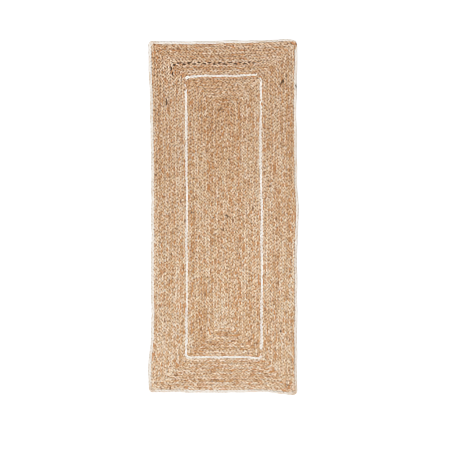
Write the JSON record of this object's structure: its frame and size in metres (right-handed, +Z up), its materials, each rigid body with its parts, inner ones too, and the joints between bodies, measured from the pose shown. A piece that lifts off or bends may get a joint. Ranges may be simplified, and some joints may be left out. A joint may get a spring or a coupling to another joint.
{
  "type": "runner rug",
  "caption": "Long flat rectangular runner rug: tan jute braid wound in a spiral and laced edge to edge, with a white inset line and a white edge.",
  "frame": {"origin": "under the middle of the rug's outline, on the surface that it lies on", "axes": "+X across the rug, towards the long side with the slight bulge; +Y along the rug, towards the short end that slopes by one braid's width; +Z up, out of the face that is walked on"},
  "size_m": [0.7794, 1.8536, 0.0092],
  "materials": {
    "natural_jute": "matt plaited fibre, slight sheen on the strands",
    "bleached_jute": "matt plaited fibre, bleached",
    "lacing_cotton": "matt twisted thread"
  },
  "bodies": {
    "root": {"field_braid_01": "natural_jute", "field_braid_02": "natural_jute", "field_braid_03": "natural_jute", "field_braid_04": "natural_jute", "field_braid_05": "natural_jute", "field_braid_06": "natural_jute", "field_braid_07": "natural_jute", "field_braid_08": "natural_jute", "field_braid_09": "natural_jute", "field_braid_10": "natural_jute", "field_braid_11": "natural_jute", "field_braid_12": "natural_jute", "field_braid_13": "natural_jute", "accent_braid": "bleached_jute", "border_braid_01": "natural_jute", "border_braid_02": "natural_jute", "border_braid_03": "natural_jute", "border_braid_04": "natural_jute", "border_braid_05": "natural_jute", "border_braid_06": "natural_jute", "border_braid_07": "natural_jute", "border_braid_08": "natural_jute", "border_braid_09": "natural_jute", "border_braid_10": "natural_jute", "border_braid_11": "natural_jute", "border_braid_12": "natural_jute", "edge_braid": "bleached_jute", "lacing_thread": "lacing_cotton"}
  },
  "joints": []
}
